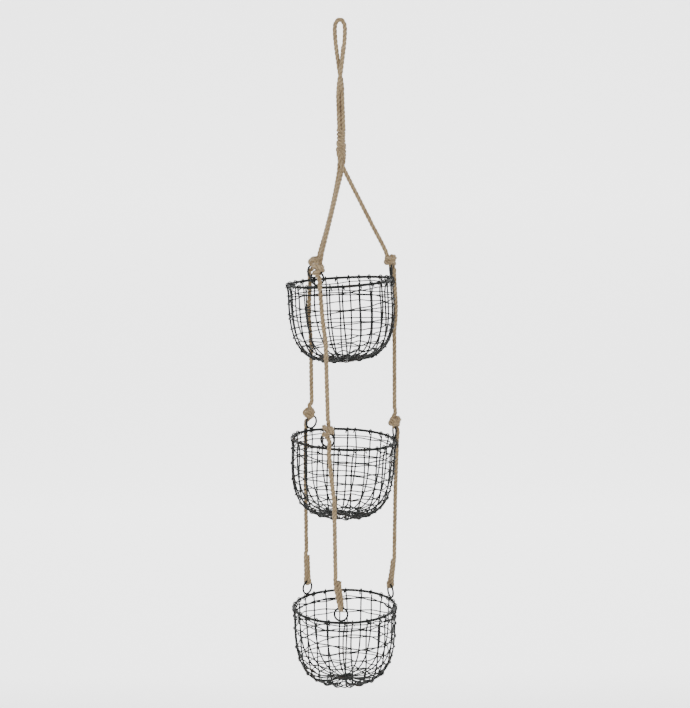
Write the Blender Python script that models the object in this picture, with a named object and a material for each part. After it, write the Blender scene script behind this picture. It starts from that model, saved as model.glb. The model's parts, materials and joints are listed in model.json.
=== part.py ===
"""Three-tier hanging wire basket: three equal round wire bowls, one under the other on three jute ropes.

Frame: metres, +Z up, the front is towards -Y. The origin is where a hook bears, at the top of the inside
of the hanging loop. Everything else hangs below it. Each tier turns on short rope bends, so that it can
swing to the side and to the front while its bowl stays level with the one above.
"""
import math
from collections import namedtuple

import bmesh
import bpy
from mathutils import Matrix, Vector

# Clearances
TOUCH_GAP = 0.0003
BEND_GAP = 0.0004

# Wire bowl
RIM_RADIUS = 0.0985
RIM_WIRE_RADIUS = 0.002
BOWL_DEPTH = 0.148
BOWL_SQUARENESS = 3.65
RIB_COUNT = 26
RIB_WIDTH = 0.0018
HUB_RADIUS = 0.013
HUB_THICKNESS = 0.002
RIB_ANGLES = (80.0, 71.0, 60.0, 46.0, 31.0, 16.0, 5.0)
RIB_START = math.pi / (2 * RIB_COUNT)
WEAVE_WIRE_RADIUS = 0.0006
WEAVE_TURNS = 5
WEAVE_FIRST_ANGLE = 3.0
WEAVE_LAST_ANGLE = 76.0
RING_RADIUS = 0.0135
RING_WIRE_RADIUS = 0.00125
RING_CENTRE_HEIGHT = RIM_WIRE_RADIUS + TOUCH_GAP + RING_WIRE_RADIUS + RING_RADIUS

# Rope
ROPE_RADIUS = 0.004
ROPE_SIDES = 8
STEP_ALONG_ROPE = 0.014
KNOT_HALF_WIDTH = 0.0125
KNOT_HALF_DEPTH = 0.0105
KNOT_HALF_HEIGHT = 0.012
KNOT_HEIGHT = RING_CENTRE_HEIGHT + 0.016
RUN_START_HEIGHT = 0.0205
RUN_OFF_RIM = 0.0076
RUN_OFF_WALL = 0.0082
DROP_START_BELOW_RIM = 0.110
ROPE_END_LENGTH = 0.050
ROPE_END_HALF_WIDTH = 0.0076
ROPE_END_HALF_DEPTH = 0.0048
ROPE_END_BELOW_RING_TOP = 0.006
BEND_RADIUS = ROPE_RADIUS
STUB_GAP = BEND_RADIUS + BEND_GAP

# Hanging loop and neck, heights measured from the hook's bearing point
LOOP_HALF_WIDTH = 0.0093
LOOP_SHOULDER = -0.0115
LOOP_FOOT = -0.0715
THROAT_RADIUS = 0.006
THROAT_HEIGHT = -0.0863
NECK_TOP_RADIUS = 0.0052
NECK_RADIUS = 0.0078
WHIPPING_RADIUS = 0.0082
WHIPPING_FOOT_RADIUS = 0.0088
NECK_FULL_WIDTH_HEIGHT = -0.118
NECK_WHIPPING_JOIN = -0.1915
CROTCH_HEIGHT = -0.268
CROTCH_ROPE_CIRCLE = 0.00485

# A tier: where its rim's centre is, how far the bowl leans about Y, and where round the rim each rope's
# ring stands, in degrees from the front
Tier = namedtuple("Tier", "name rim_height centre_x lean ring_angles")
TIERS = (
    Tier("top", -0.480, -0.004, -2.9, {"front": -24.0, "right": 96.0, "left": -149.0}),
    Tier("middle", -0.783, 0.0015, 2.8, {"front": -18.5, "right": 101.5, "left": -138.5}),
    Tier("bottom", -1.116, 0.0, 0.0, {"front": -4.0, "right": 113.0, "left": -131.0}),
)
ROPES = ("front", "right", "left")
GUIDE_ROPE = "front"

# Where each rope hangs down to the tier below, seen from above, and where that stretch ends
DROP_PLACES = {
    "middle": {"front": (-0.0281, -0.0934), "right": (0.0995, 0.0196), "left": (-0.0621, 0.0738)},
    "bottom": {"front": (-0.0166, -0.0983), "right": (0.0985, 0.0300), "left": (-0.0760, 0.0700)},
}
DROP_FOOT_HEIGHTS = {"middle": -0.724, "bottom": -1.023}

# Colours
WIRE_COLOUR = (0.028, 0.031, 0.029, 1.0)
ROPE_COLOUR = (0.39, 0.29, 0.18, 1.0)


def clear_scene():
    for existing in list(bpy.data.objects):
        bpy.data.objects.remove(existing, do_unlink=True)


def principled(name, colour, roughness, metallic):
    material = bpy.data.materials.new(name)
    material.use_nodes = True
    shader = material.node_tree.nodes["Principled BSDF"]
    shader.inputs["Base Color"].default_value = colour
    shader.inputs["Roughness"].default_value = roughness
    shader.inputs["Metallic"].default_value = metallic
    material.diffuse_color = colour
    return material


def wire_material(name):
    return principled(name + "_wire", WIRE_COLOUR, 0.42, 0.8)


def rope_material(name):
    return principled(name + "_jute", ROPE_COLOUR, 0.92, 0.0)


def add_object(name, data, material, parent=None, matrix=None):
    data.materials.append(material)
    piece = bpy.data.objects.new(name, data)
    bpy.context.collection.objects.link(piece)
    if parent is not None:
        piece.parent = parent
    if matrix is not None:
        piece.matrix_local = matrix
    return piece


def add_frame(name, matrix, parent=None):
    empty = bpy.data.objects.new(name, None)
    bpy.context.collection.objects.link(empty)
    empty.parent = parent
    empty.matrix_local = matrix
    return empty


def mesh_from(bm, name):
    bmesh.ops.recalc_face_normals(bm, faces=bm.faces)
    mesh = bpy.data.meshes.new(name)
    bm.to_mesh(mesh)
    bm.free()
    mesh.shade_smooth()
    mesh.set_sharp_from_angle(angle=math.radians(50))
    return mesh


def lofted(name, sections, sides=12):
    """A closed body drawn through oval sections, each (height, half width, half depth)."""
    bm = bmesh.new()
    bmesh.ops.create_cone(bm, cap_ends=True, segments=sides, radius1=1.0, radius2=1.0, depth=1.0)
    rings = [[v for v in bm.verts if v.co.z < 0], [v for v in bm.verts if v.co.z > 0]]
    top = next(f for f in bm.faces if len(f.verts) == sides and f.calc_center_median().z > 0)
    order = [v.co.copy() for v in top.verts]
    for ring, (height, half_width, half_depth) in zip(rings, sections):
        for vertex in ring:
            vertex.co = (vertex.co.x * half_width, vertex.co.y * half_depth, height)
    for height, half_width, half_depth in sections[2:]:
        top = bmesh.ops.extrude_discrete_faces(bm, faces=[top])["faces"][0]
        for vertex, unit in zip(top.verts, order):
            vertex.co = (unit.x * half_width, unit.y * half_depth, height)
    return mesh_from(bm, name)


def torus(name, radius, wire_radius, segments, sides):
    """A wire hoop lying flat about Z."""
    bm = bmesh.new()
    section = bmesh.ops.create_circle(bm, segments=sides, radius=wire_radius)["verts"]
    stand_up = Matrix.Translation((radius, 0, 0)) @ Matrix.Rotation(math.pi / 2, 4, "X")
    bmesh.ops.transform(bm, matrix=stand_up, verts=section)
    bmesh.ops.spin(bm, geom=bm.edges[:], cent=(0, 0, 0), axis=(0, 0, 1), angle=2 * math.pi,
                   steps=segments, use_merge=True)
    bmesh.ops.remove_doubles(bm, verts=bm.verts, dist=1e-6)
    return mesh_from(bm, name)


def tube(name, points, radius, bevel_resolution, closed=False):
    """A round bar along a route of points."""
    curve = bpy.data.curves.new(name, "CURVE")
    curve.dimensions = "3D"
    curve.bevel_depth = radius
    curve.bevel_resolution = bevel_resolution
    curve.render_resolution_u = 0
    curve.use_fill_caps = True
    spline = curve.splines.new("POLY")
    spline.points.add(len(points) - 1)
    for spline_point, point in zip(spline.points, points):
        spline_point.co = (*point, 1.0)
    spline.use_cyclic_u = closed
    return curve


def smooth_route(stations):
    """Points about STEP_ALONG_ROPE apart on a smooth curve through the stations."""
    stations = [Vector(s) for s in stations]
    before = 2 * stations[0] - stations[1]
    after = 2 * stations[-1] - stations[-2]
    padded = [before] + stations + [after]
    route = [stations[0]]
    for a, b, c, d in zip(padded, padded[1:], padded[2:], padded[3:]):
        pieces = max(1, round((c - b).length / STEP_ALONG_ROPE))
        for i in range(1, pieces + 1):
            t = i / pieces
            point = 2 * b + (c - a) * t + (2 * a - 5 * b + 4 * c - d) * t ** 2 + (3 * b - a - 3 * c + d) * t ** 3
            route.append(point / 2)
    return route


def bowl_profile(angle, outset=0.0):
    """Radius and height of the bowl's wall, from 0 degrees at the rim to 90 at the middle of the floor.

    outset moves the point square to the wall, out of the bowl.
    """
    power = 2 / BOWL_SQUARENESS

    def on_wall(degrees):
        turn = math.radians(degrees)
        return Vector((RIM_RADIUS * math.cos(turn) ** power, -BOWL_DEPTH * math.sin(turn) ** power))

    along = (on_wall(angle + 0.5) - on_wall(max(angle - 0.5, 0.0))).normalized()
    outward = Vector((-along.y, along.x))
    return on_wall(angle) + outward * outset, along


def rib_cage(name):
    """All ribs of a bowl, drawn out of the edge of the hub that gathers them under the floor."""
    bm = bmesh.new()
    bmesh.ops.create_cone(bm, cap_ends=True, segments=2 * RIB_COUNT, radius1=HUB_RADIUS, radius2=HUB_RADIUS,
                          depth=HUB_THICKNESS)
    floor_height = -BOWL_DEPTH + HUB_THICKNESS / 2
    bmesh.ops.translate(bm, vec=(0, 0, floor_height), verts=bm.verts)
    edge_faces = [f for f in bm.faces if len(f.verts) == 4]
    edge_faces.sort(key=lambda f: math.atan2(f.calc_center_median().y, f.calc_center_median().x))
    for face in edge_faces[::2]:
        centre = face.calc_center_median()
        outward = Vector((centre.x, centre.y, 0)).normalized()
        sideways = Vector((-outward.y, outward.x, 0))
        corners = [(math.copysign(1, (v.co - centre).dot(sideways)), math.copysign(1, v.co.z - centre.z))
                   for v in face.verts]
        for angle in RIB_ANGLES:
            (radius, height), along = bowl_profile(angle)
            if angle == RIB_ANGLES[-1]:
                height = -(RIM_WIRE_RADIUS + TOUCH_GAP)
                along = Vector((0, -1))
            middle = outward * radius + Vector((0, 0, height))
            inward = outward * along.y + Vector((0, 0, -along.x))
            face = bmesh.ops.extrude_discrete_faces(bm, faces=[face])["faces"][0]
            for vertex, (side, upper) in zip(face.verts, corners):
                vertex.co = middle + (sideways * side + inward * upper) * (RIB_WIDTH / 2)
    return mesh_from(bm, name)


def weave_route():
    """One wire wound down the outside of the ribs, its corners half way between them."""
    steps = WEAVE_TURNS * RIB_COUNT
    outset = RIB_WIDTH / 2 + TOUCH_GAP + WEAVE_WIRE_RADIUS
    corner = 1 / math.cos(math.pi / RIB_COUNT)
    first_gap = 2 * math.pi / RIB_COUNT / 2
    route = []
    for step in range(steps + 1):
        share = step / steps
        angle = WEAVE_FIRST_ANGLE + (WEAVE_LAST_ANGLE - WEAVE_FIRST_ANGLE) * share
        (radius, height), _ = bowl_profile(angle, outset)
        around = first_gap + 2 * math.pi * step / RIB_COUNT + RIB_START
        route.append((radius * corner * math.cos(around), radius * corner * math.sin(around), height))
    return route


def tier_matrix(tier):
    lean = Matrix.Rotation(math.radians(tier.lean), 4, "Y")
    return Matrix.Translation((tier.centre_x, 0, tier.rim_height)) @ lean


def seat_matrix(tier, rope):
    """Frame at the rim's centre under a rope: X along the rim, -Y out of the bowl, Z up."""
    return Matrix.Rotation(math.radians(tier.ring_angles[rope]), 4, "Z")


def drop_position(lower, rope, height):
    """A point on the rope that hangs straight down to a tier."""
    return Vector((*DROP_PLACES[lower.name][rope], height))


def beside_wall(tier, point):
    """The point moved out, square to the bowl's axis, until a rope there clears the wall."""
    to_tier = tier_matrix(tier)
    local = to_tier.inverted() @ point
    depth_share = min(max(-local.z / BOWL_DEPTH, 0.0), 1.0)
    angle = math.degrees(math.asin(depth_share ** (BOWL_SQUARENESS / 2)))
    clear_radius = bowl_profile(angle, RUN_OFF_WALL)[0].x
    flat = Vector((local.x, local.y, 0))
    scale = max(1.0, clear_radius / flat.length)
    return to_tier @ Vector((local.x * scale, local.y * scale, local.z))


def ring_frame(tier, rope):
    """World matrix of a ring: the hoop stands on the rim, in the plane of the rim's tangent."""
    centre = Matrix.Translation((0, -RIM_RADIUS, RING_CENTRE_HEIGHT))
    return tier_matrix(tier) @ seat_matrix(tier, rope) @ centre @ Matrix.Rotation(math.pi / 2, 4, "X")


def knot_centre(tier, rope):
    return (tier_matrix(tier) @ seat_matrix(tier, rope) @ Vector((0, -RIM_RADIUS, KNOT_HEIGHT, 1))).to_3d()


def frame_along(start, up, tier, rope):
    """World matrix at start whose Z is up and whose X follows the rim beside a rope."""
    tangent = (tier_matrix(tier) @ seat_matrix(tier, rope)).to_3x3() @ Vector((1, 0, 0))
    z = up.normalized()
    y = z.cross(tangent).normalized()
    x = y.cross(z)
    rotation = Matrix((x, y, z)).transposed().to_4x4()
    return Matrix.Translation(start) @ rotation


def stub_length(up):
    """Length of a slanting stub whose flat top stays under a horizontal plane at the tip of up."""
    return up.length - ROPE_RADIUS * math.tan(up.angle(Vector((0, 0, 1))))


def cut_ring_channel(piece, tier, rope):
    """Let a ring pass through a knot with a small clearance."""
    cutter_mesh = torus(piece.name + "_channel", RING_RADIUS, RING_WIRE_RADIUS + TOUCH_GAP, 24, 6)
    cutter = bpy.data.objects.new(piece.name + "_channel_cutter", cutter_mesh)
    bpy.context.collection.objects.link(cutter)
    cutter.matrix_world = ring_frame(tier, rope)
    cutter.hide_render = True
    cutter.display_type = "WIRE"
    cut = piece.modifiers.new("ring channel", "BOOLEAN")
    cut.operation = "DIFFERENCE"
    cut.solver = "EXACT"
    cut.object = cutter


def knot_sections(half_height):
    """Oval sections of a tied knot about its centre, from the bottom up."""
    sections = []
    for latitude in (-72, -45, -15, 15, 45, 72):
        turn = math.radians(latitude)
        sections.append((half_height * math.sin(turn), KNOT_HALF_WIDTH * math.cos(turn),
                         KNOT_HALF_DEPTH * math.cos(turn)))
    return sections


def build_basket(tier):
    frame = add_frame(tier.name + "_basket_frame", tier_matrix(tier))
    rim = torus(tier.name + "_rim", RIM_RADIUS, RIM_WIRE_RADIUS, 40, 6)
    add_object(tier.name + "_rim", rim, wire_material(tier.name + "_rim"), frame)
    cage = rib_cage(tier.name + "_rib_cage")
    add_object(tier.name + "_rib_cage", cage, wire_material(tier.name + "_rib_cage"), frame)
    weave = tube(tier.name + "_weave_wire", weave_route(), WEAVE_WIRE_RADIUS, 0)
    add_object(tier.name + "_weave_wire", weave, wire_material(tier.name + "_weave_wire"), frame)
    for rope in ROPES:
        name = f"{tier.name}_{rope}_ring"
        hoop = torus(name, RING_RADIUS, RING_WIRE_RADIUS, 16, 6)
        add_object(name, hoop, wire_material(name), matrix=ring_frame(tier, rope))


def build_hanging_loop():
    """A drop-shaped loop of rope that closes where its two strands meet."""
    crown_height = ROPE_RADIUS
    foot_half_width = ROPE_RADIUS + BEND_GAP
    points = []
    for i in range(9):
        turn = math.pi * i / 8
        points.append((LOOP_HALF_WIDTH * math.cos(turn), 0,
                       LOOP_SHOULDER + (crown_height - LOOP_SHOULDER) * math.sin(turn)))
    side_steps = 6
    for i in range(1, side_steps + 1):
        ease = (1 - math.cos(math.pi * i / side_steps)) / 2
        half_width = LOOP_HALF_WIDTH + (foot_half_width - LOOP_HALF_WIDTH) * ease
        points.append((-half_width, 0, LOOP_SHOULDER + (LOOP_FOOT - LOOP_SHOULDER) * i / side_steps))
    for i in range(1, 4):
        turn = math.pi * i / 4
        points.append((-foot_half_width * math.cos(turn), 0, LOOP_FOOT - foot_half_width * math.sin(turn)))
    mirrored = [(-x, y, z) for x, y, z in reversed(points[8 + 1:8 + 1 + side_steps])]
    loop = tube("hanging_loop", points + mirrored, ROPE_RADIUS, 2, closed=True)
    add_object("hanging_loop", loop, rope_material("hanging_loop"))


def build_neck():
    throat = bpy.data.meshes.new("loop_throat")
    bm = bmesh.new()
    bmesh.ops.create_uvsphere(bm, u_segments=12, v_segments=8, radius=THROAT_RADIUS)
    bm.to_mesh(throat)
    bm.free()
    throat.shade_smooth()
    add_object("loop_throat", throat, rope_material("loop_throat"),
               matrix=Matrix.Translation((0, 0, THROAT_HEIGHT)))
    neck_top = -THROAT_RADIUS - TOUCH_GAP
    full = NECK_FULL_WIDTH_HEIGHT - THROAT_HEIGHT
    join = NECK_WHIPPING_JOIN - THROAT_HEIGHT
    sections = [(join, NECK_RADIUS, NECK_RADIUS), (full, NECK_RADIUS, NECK_RADIUS),
                (neck_top, NECK_TOP_RADIUS, NECK_TOP_RADIUS)]
    neck = lofted("plaited_neck", sections, 14)
    add_object("plaited_neck", neck, rope_material("plaited_neck"),
               matrix=Matrix.Translation((0, 0, THROAT_HEIGHT)))
    whipping_top = -BEND_GAP
    whipping_foot = CROTCH_HEIGHT - NECK_WHIPPING_JOIN
    sections = [(whipping_foot, WHIPPING_FOOT_RADIUS, WHIPPING_FOOT_RADIUS),
                (whipping_foot * 0.6, WHIPPING_RADIUS, WHIPPING_RADIUS), (whipping_top, NECK_RADIUS, NECK_RADIUS)]
    whipping = lofted("neck_whipping", sections, 14)
    add_object("neck_whipping", whipping, rope_material("neck_whipping"),
               matrix=Matrix.Translation((0, 0, NECK_WHIPPING_JOIN)))


def build_bridle_rope(tier, rope):
    """One rope from the neck out to the top bowl's knot."""
    name = rope + "_bridle_rope"
    turn = math.radians(tier.ring_angles[rope])
    outward = Vector((math.sin(turn), -math.cos(turn), 0))
    crotch = outward * CROTCH_ROPE_CIRCLE + Vector((0, 0, CROTCH_HEIGHT - TOUCH_GAP))
    knot = knot_centre(tier, rope)
    below = crotch - Vector((0, 0, 0.003))
    bend = outward * (CROTCH_ROPE_CIRCLE + 0.0024) + Vector((0, 0, CROTCH_HEIGHT - 0.0105))
    along = (knot - bend).normalized()
    foot = knot - along * (KNOT_HALF_HEIGHT + 2 * TOUCH_GAP)
    bar = tube(name, smooth_route([crotch, below, bend, bend.lerp(foot, 0.5), foot]), ROPE_RADIUS, 2)
    add_object(name, bar, rope_material(name))


def build_knot(tier, rope, stub_top=None):
    """A knot round the top of a ring, with a rope stub up to stub_top where the rope bends above it."""
    name = f"{tier.name}_{rope}_knot"
    centre = knot_centre(tier, rope)
    sections = knot_sections(KNOT_HALF_HEIGHT)
    up = Vector((0, 0, 1))
    if stub_top is not None:
        up = stub_top - centre
        shoulder = (KNOT_HALF_HEIGHT * 1.06, ROPE_RADIUS, ROPE_RADIUS)
        sections = sections[:-1] + [shoulder, (stub_length(up), ROPE_RADIUS, ROPE_RADIUS)]
    knot = lofted(name, sections)
    piece = add_object(name, knot, rope_material(name), matrix=frame_along(centre, up, tier, rope))
    cut_ring_channel(piece, tier, rope)


def build_rope_run(tier, next_tier, rope):
    """The rope from under a knot, over the outside of the rim and down the bowl's wall."""
    name = f"{tier.name}_{rope}_rope_run"
    seat = tier_matrix(tier) @ seat_matrix(tier, rope)
    start = seat @ Vector((0, -RIM_RADIUS - RUN_OFF_RIM, RUN_START_HEIGHT))
    at_rim = seat @ Vector((0, -RIM_RADIUS - RUN_OFF_RIM, 0))
    foot = drop_position(next_tier, rope, tier.rim_height - DROP_START_BELOW_RIM + STUB_GAP)
    above_foot = foot + Vector((0, 0, 0.012))
    down_wall = [beside_wall(tier, at_rim.lerp(above_foot, share)) for share in (0.25, 0.5, 0.75)]
    stations = [start, at_rim, *down_wall, beside_wall(tier, above_foot), foot]
    run = tube(name, smooth_route(stations), ROPE_RADIUS, 2)
    add_object(name, run, rope_material(name))


def build_bend(name, position):
    """The short round stretch of rope on which a drop bends."""
    bm = bmesh.new()
    bmesh.ops.create_uvsphere(bm, u_segments=8, v_segments=6, radius=BEND_RADIUS)
    mesh = mesh_from(bm, name)
    add_object(name, mesh, rope_material(name), matrix=Matrix.Translation(position))


def round_end(height):
    """Sections of a rope's rounded lower end, from the tip up to full width at height."""
    sections = []
    for latitude in (72, 36, 0):
        turn = math.radians(latitude)
        half_width = ROPE_RADIUS * math.cos(turn)
        sections.append((height - ROPE_RADIUS * math.sin(turn), half_width, half_width))
    return sections


def build_drop(upper, lower, rope):
    """A straight hanging rope between two tiers, with the bend it turns on at its top."""
    head_height = upper.rim_height - DROP_START_BELOW_RIM
    foot_height = DROP_FOOT_HEIGHTS[lower.name]
    head = drop_position(lower, rope, head_height)
    foot = drop_position(lower, rope, foot_height)
    build_bend(f"{lower.name}_{rope}_rope_bend", head)
    drop_length = head_height - foot_height
    if rope == GUIDE_ROPE:
        build_bend(f"{lower.name}_{rope}_lower_bend", foot)
        low_end = [(-drop_length + STUB_GAP, ROPE_RADIUS, ROPE_RADIUS)]
    else:
        low_end = round_end(-drop_length)
    sections = low_end + [(-drop_length / 2, ROPE_RADIUS, ROPE_RADIUS), (-STUB_GAP, ROPE_RADIUS, ROPE_RADIUS)]
    name = f"{lower.name}_{rope}_drop_rope"
    drop = lofted(name, sections, ROPE_SIDES)
    add_object(name, drop, rope_material(name), matrix=Matrix.Translation(head))
    return foot - Vector((0, 0, STUB_GAP))


def build_rope_end(tier, rope, stub_top):
    """The rope's last stretch: through the ring, folded back up and bound to itself."""
    name = f"{tier.name}_{rope}_rope_end"
    ring_top = (ring_frame(tier, rope) @ Vector((0, RING_RADIUS, 0, 1))).to_3d()
    up = stub_top - ring_top
    wide = (ROPE_END_HALF_WIDTH, ROPE_END_HALF_DEPTH)
    sections = [
        (-ROPE_END_BELOW_RING_TOP, 0.0034, 0.0026),
        (-ROPE_END_BELOW_RING_TOP * 0.55, 0.0066, 0.0044),
        (0.0, *wide),
        (ROPE_END_LENGTH - 0.007, *wide),
        (ROPE_END_LENGTH, ROPE_RADIUS, ROPE_RADIUS),
        (stub_length(up), ROPE_RADIUS, ROPE_RADIUS),
    ]
    end = lofted(name, sections)
    piece = add_object(name, end, rope_material(name), matrix=frame_along(ring_top, up, tier, rope))
    cut_ring_channel(piece, tier, rope)


def build():
    clear_scene()
    top, middle, bottom = TIERS
    for tier in TIERS:
        build_basket(tier)
    build_hanging_loop()
    build_neck()
    for rope in ROPES:
        build_bridle_rope(top, rope)
        build_knot(top, rope)
        build_rope_run(top, middle, rope)
        middle_stub = build_drop(top, middle, rope)
        build_knot(middle, rope, middle_stub)
        build_rope_run(middle, bottom, rope)
        bottom_stub = build_drop(middle, bottom, rope)
        build_rope_end(bottom, rope, bottom_stub)


build()
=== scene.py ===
"""Looks of the three-tier hanging wire basket: jute rope work and woven near-black wire bowls."""
import json
import math
import random

import bpy
import numpy as np
from mathutils import Matrix, Vector


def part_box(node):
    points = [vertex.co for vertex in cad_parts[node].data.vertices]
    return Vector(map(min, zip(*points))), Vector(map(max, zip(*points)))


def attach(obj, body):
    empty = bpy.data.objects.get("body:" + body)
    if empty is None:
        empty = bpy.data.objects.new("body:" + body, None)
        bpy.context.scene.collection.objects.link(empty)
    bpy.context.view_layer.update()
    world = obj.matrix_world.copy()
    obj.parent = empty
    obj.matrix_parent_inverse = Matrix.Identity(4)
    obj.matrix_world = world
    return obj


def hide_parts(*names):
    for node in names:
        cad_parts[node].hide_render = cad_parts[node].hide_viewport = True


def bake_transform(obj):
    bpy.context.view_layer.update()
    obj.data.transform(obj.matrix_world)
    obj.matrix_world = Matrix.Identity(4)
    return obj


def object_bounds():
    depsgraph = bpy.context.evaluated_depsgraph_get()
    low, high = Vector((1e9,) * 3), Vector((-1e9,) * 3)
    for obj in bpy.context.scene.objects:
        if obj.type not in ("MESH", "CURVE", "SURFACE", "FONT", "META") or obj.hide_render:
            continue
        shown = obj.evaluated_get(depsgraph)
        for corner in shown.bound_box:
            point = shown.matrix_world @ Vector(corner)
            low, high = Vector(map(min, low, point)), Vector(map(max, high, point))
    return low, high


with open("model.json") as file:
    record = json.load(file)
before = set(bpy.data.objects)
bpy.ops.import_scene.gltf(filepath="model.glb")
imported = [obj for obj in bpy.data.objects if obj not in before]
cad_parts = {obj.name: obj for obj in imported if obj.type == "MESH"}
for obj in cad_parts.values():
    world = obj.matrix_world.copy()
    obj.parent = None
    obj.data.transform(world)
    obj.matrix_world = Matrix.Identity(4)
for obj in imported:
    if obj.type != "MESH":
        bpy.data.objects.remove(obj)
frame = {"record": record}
cad_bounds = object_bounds()

TIERS = ("top", "middle", "bottom")
ROPES = ("front", "right", "left")
GUIDE_ROPE = "front"

# Rope
ROPE_RADIUS = 0.004
LAY_LENGTH = 0.026
STRAND_RADIUS = 0.00232
STRAND_CIRCLE = 0.00205
ROPE_STEP = 0.0016
STRAND_SIDES = 11
FIBRE_RADIUS = 0.00007
FIBRES_PER_METRE = 1300.0
KNOT_STEPS = 20
KNOT_ABOVE_RING = 0.016
ROPE_OFF_RIM = 0.0068
ROPE_OFF_WALL = 0.0060

# Wire
RIM_WIRE_RADIUS = 0.0026
RIB_RADIUS = 0.0015
WEAVE_RADIUS = 0.0012
RING_WIRE_RADIUS = 0.0019
RIB_COUNT = 26
BOWL_DEPTH = 0.148
BOWL_SQUARENESS = 3.65
RIB_STEP = 0.0016
WEAVE_DRIFT = 0.0056
WEAVE_RIPPLE = 0.0013
WEAVE_REACH = 0.93
FLOOR_LIFT = 0.0012
LASHING_RADIUS = 0.00055
HUB_WIRE_RADIUS = 0.0008
HUB_TURNS = 5
HUB_STRAYS = 3

# Distances of the woven wires from the rim, down the wall and in along the floor
HOOPS = {
    "top": (0.010, 0.022, 0.036, 0.050, 0.066, 0.080, 0.096, 0.114, 0.130, 0.146, 0.160, 0.174, 0.188),
    "middle": (0.012, 0.020, 0.032, 0.050, 0.066, 0.082, 0.096, 0.112, 0.130, 0.146, 0.160, 0.174),
    "bottom": (0.011, 0.014, 0.017, 0.034, 0.048, 0.064, 0.080, 0.098, 0.114, 0.130, 0.146, 0.162, 0.176),
}

# How far each bowl's wall swells half way down, as a share of the rim's radius
BELLY = {"top": 0.022, "middle": 0.005, "bottom": 0.0}

# How far each rope crosses the rim to the side of its ring, and how far its knot sits from the ring's top
RIM_CROSSING = {("top", "front"): 0.0075, ("top", "right"): 0.007, ("top", "left"): 0.006,
                ("middle", "front"): 0.006, ("middle", "right"): 0.0, ("middle", "left"): 0.008}
KNOT_SHIFT = {("top", "front"): 0.0035, ("top", "left"): -0.0035, ("middle", "left"): 0.0065}

# Place and thickness of each rope in the neck: two side by side, and one behind them
NECK_ROPES = (((-0.0041, -0.0006), 0.0038), ((0.0041, -0.0006), 0.0038), ((0.0, 0.0030), 0.0036))

# Where each rope comes in above its knot on the top bowl, from the knot's centre
TOP_ENTRY = {"front": (0.0065, 0.0135, 0.028), "right": (-0.0085, -0.0005, 0.0175),
             "left": (0.0105, -0.0085, 0.021)}

# How far each bridle rope bows to the right half way down
BRIDLE_BOW = {"front": 0.0, "right": 0.0, "left": 0.0024}

# Where each rope leaves the foot of the whipping: the right one crosses in front of the other two
CROTCH_STATIONS = {
    "front": ((0.0050, 0.0002, 0.018), (0.0032, -0.0004, 0.006), (0.0004, -0.0026, -0.008)),
    "right": ((-0.0026, -0.0050, 0.022), (-0.0006, -0.0074, 0.013), (0.0028, -0.0080, 0.005),
              (0.0066, -0.0062, -0.003), (0.0114, -0.0045, -0.013)),
    "left": ((-0.0026, 0.0034, 0.018), (-0.0034, 0.0042, 0.006), (-0.0048, 0.0064, -0.008)),
}

# How much of the way from its head back to the rim's crossing each drop leans
DROP_SLACK = {("bottom", "right"): 0.45, ("middle", "front"): 0.25}
USUAL_SLACK = 0.12
HALF_RUN = 0.045
STUB_LENGTH = 0.008

# Loop, neck and whipping
EYE_CUT_RADIUS = 0.0028
NECK_DRIFT = 0.0026
PLAIT_HALF_WIDTH = 0.0058
PLAIT_HALF_DEPTH = -0.0030
PLAIT_PITCH = 0.027
NECK_STEP = 0.0013
# Radius of the dark tube of painted shade down the neck's middle
NECK_SHADE_TUBE_RADIUS = 0.0028
WHIPPING_CORD_RADIUS = 0.0032
WHIPPING_TURNS = 10
WHIPPING_STEPS = 24
WHIPPING_FIBRES_PER_METRE = 900

# Studio
SENSOR_WIDTH = 36.0
FOCAL_LENGTH = 69.12
CAMERA_PLACE = (0.0046, -2.5, -0.2610)
CAMERA_PITCH, CAMERA_ROLL = 8.117, -0.466
BACKDROP_GLOW = 2.0

joints = {joint["name"]: joint for joint in frame["record"]["behaviour"]["joints"]}


# ---------------------------------------------------------------- shapes

def unit(vectors):
    return vectors / np.maximum(np.linalg.norm(vectors, axis=-1, keepdims=True), 1e-12)


def tangents_of(points, closed=False):
    if closed:
        return unit(np.roll(points, -1, axis=0) - np.roll(points, 1, axis=0))
    return unit(np.gradient(points, axis=0))


def carried_frames(points, closed=False):
    """Tangent, normal and side at each point, with no needless twist."""
    tangents = tangents_of(points, closed)
    normals = np.empty_like(points)
    helper = np.array((0.0, 1.0, 0.0)) if abs(tangents[0][1]) < 0.9 else np.array((1.0, 0.0, 0.0))
    normal = unit(helper - tangents[0] * helper.dot(tangents[0]))
    for i, tangent in enumerate(tangents):
        normal = unit(normal - tangent * normal.dot(tangent))
        normals[i] = normal
    if closed:
        end = unit(normals[-1] - tangents[0] * normals[-1].dot(tangents[0]))
        side = np.cross(tangents[0], normals[0])
        gap = math.atan2(end.dot(side), end.dot(normals[0]))
        turn = -gap * np.arange(len(points))[:, None] / len(points)
        normals = normals * np.cos(turn) + np.cross(tangents, normals) * np.sin(turn)
    return tangents, normals, np.cross(tangents, normals)


def smooth_route(stations, step):
    """Evenly spaced points on a Catmull-Rom curve through the stations."""
    stations = np.array([tuple(s) for s in stations], float)
    padded = np.vstack((2 * stations[0] - stations[1], stations, 2 * stations[-1] - stations[-2]))
    fine = []
    for a, b, c, d in zip(padded, padded[1:], padded[2:], padded[3:]):
        t = np.linspace(0, 1, 24, endpoint=False)[:, None]
        fine.append((2 * b + (c - a) * t + (2 * a - 5 * b + 4 * c - d) * t ** 2
                     + (3 * b - a - 3 * c + d) * t ** 3) / 2)
    fine = np.vstack((*fine, stations[-1:]))
    return evenly_spaced(fine, step)


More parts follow.
